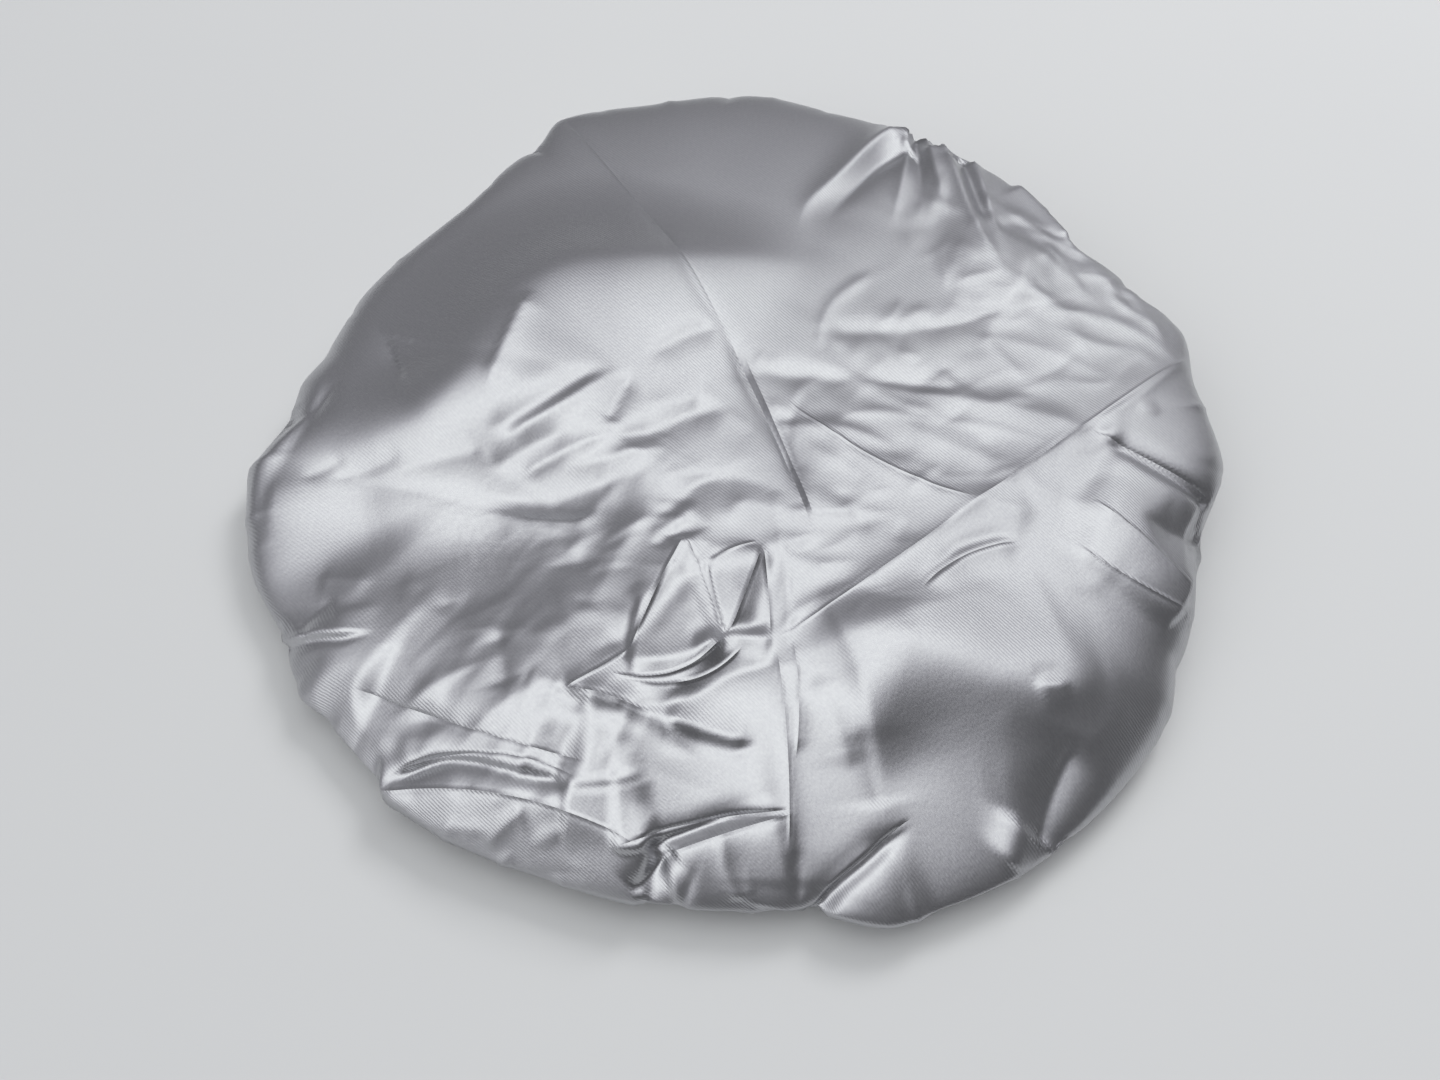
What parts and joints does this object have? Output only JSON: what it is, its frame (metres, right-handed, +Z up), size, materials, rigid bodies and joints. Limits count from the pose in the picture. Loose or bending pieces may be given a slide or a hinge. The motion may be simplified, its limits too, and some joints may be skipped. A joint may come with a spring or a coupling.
{
  "type": "shower cap",
  "caption": "Round satin shower cap with a waterproof lining and a gathered elastic hem, lying crown up with its mouth on the table.",
  "frame": {"origin": "on the table, under the middle of the cap's outline", "axes": "+Z up from the mouth to the crown, +X to the right and +Y away from the viewer of the picture"},
  "size_m": [0.3354, 0.3244, 0.0505],
  "materials": {
    "satin": "silver grey polyester satin, glossy across the weave",
    "lining_film": "milky soft waterproof film",
    "casing_satin": "silver grey satin binding",
    "elastic": "off-white woven elastic",
    "tack_thread": "off-white sewing thread",
    "sewing_thread": "silver grey sewing thread"
  },
  "bodies": {
    "root": {"outer_shell": "satin", "waterproof_lining": "lining_film", "hem_casing": "casing_satin", "elastic_band": "elastic", "elastic_join_tack": "tack_thread", "casing_needle_thread": "sewing_thread", "casing_bobbin_thread": "sewing_thread"}
  },
  "joints": []
}
